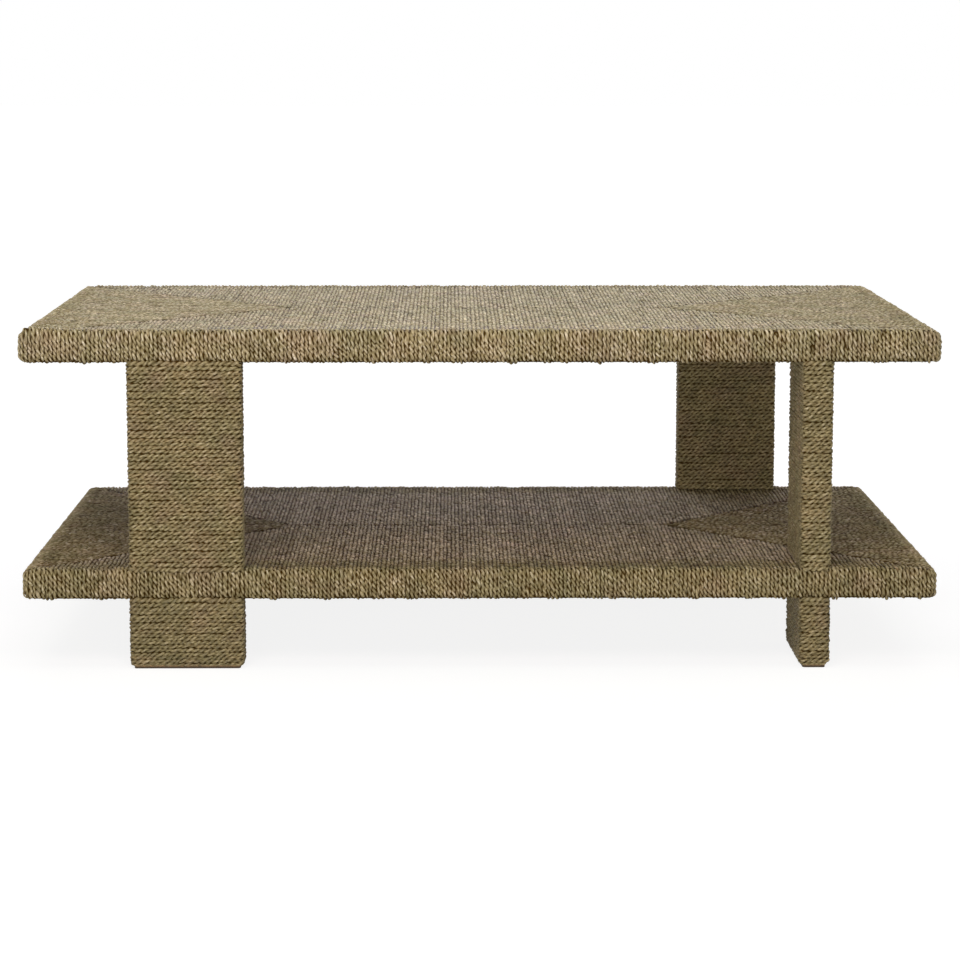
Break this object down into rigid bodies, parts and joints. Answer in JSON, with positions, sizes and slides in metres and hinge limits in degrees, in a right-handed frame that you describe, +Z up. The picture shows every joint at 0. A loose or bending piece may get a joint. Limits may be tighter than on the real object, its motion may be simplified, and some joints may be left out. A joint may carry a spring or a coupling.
{
  "type": "coffee table",
  "caption": "Low rectangular table with a lower shelf, wound all over in twisted seagrass cord, on slab legs set in a pinwheel.",
  "frame": {"origin": "on the floor under the middle of the table", "axes": "+X along the table to the right seen from the front, +Y to the back, +Z up"},
  "size_m": [1.27, 0.711, 0.47],
  "materials": {
    "slab_cord": "twisted seagrass cord, dry and slightly waxy, undyed",
    "leg_cord": "twisted seagrass cord, dry and slightly waxy, undyed",
    "pine": "planed softwood, unfinished",
    "plywood": "plywood, unfinished",
    "sole": "dark stained hardwood, satin",
    "zinc_steel": "zinc plated"
  },
  "bodies": {
    "root": {"top_front_rail": "pine", "top_back_rail": "pine", "top_left_end_rail": "pine", "top_right_end_rail": "pine", "top_left_cross_rail": "pine", "top_right_cross_rail": "pine", "top_deck_panel": "plywood", "top_weave_front": "slab_cord", "top_weave_back": "slab_cord", "top_weave_left": "slab_cord", "top_weave_right": "slab_cord", "shelf_front_rail": "pine", "shelf_back_rail": "pine", "shelf_left_end_rail": "pine", "shelf_right_end_rail": "pine", "shelf_left_cross_rail": "pine", "shelf_right_cross_rail": "pine", "shelf_deck_panel": "plywood", "shelf_weave_front": "slab_cord", "shelf_weave_back": "slab_cord", "shelf_weave_left": "slab_cord", "shelf_weave_right": "slab_cord", "front_left_leg_board": "pine", "front_left_leg_wrap": "leg_cord", "front_left_foot_block": "pine", "front_left_foot_wrap": "leg_cord", "front_left_foot_sole": "sole", "front_left_tie_bolt_1": "zinc_steel", "front_left_flanged_nut_1": "zinc_steel", "front_left_tie_bolt_2": "zinc_steel", "front_left_flanged_nut_2": "zinc_steel", "front_right_leg_board": "pine", "front_right_leg_wrap": "leg_cord", "front_right_foot_block": "pine", "front_right_foot_wrap": "leg_cord", "front_right_foot_sole": "sole", "front_right_tie_bolt_1": "zinc_steel", "front_right_flanged_nut_1": "zinc_steel", "front_right_tie_bolt_2": "zinc_steel", "front_right_flanged_nut_2": "zinc_steel", "back_right_leg_board": "pine", "back_right_leg_wrap": "leg_cord", "back_right_foot_block": "pine", "back_right_foot_wrap": "leg_cord", "back_right_foot_sole": "sole", "back_right_tie_bolt_1": "zinc_steel", "back_right_flanged_nut_1": "zinc_steel", "back_right_tie_bolt_2": "zinc_steel", "back_right_flanged_nut_2": "zinc_steel", "back_left_leg_board": "pine", "back_left_leg_wrap": "leg_cord", "back_left_foot_block": "pine", "back_left_foot_wrap": "leg_cord", "back_left_foot_sole": "sole", "back_left_tie_bolt_1": "zinc_steel", "back_left_flanged_nut_1": "zinc_steel", "back_left_tie_bolt_2": "zinc_steel", "back_left_flanged_nut_2": "zinc_steel"}
  },
  "joints": []
}
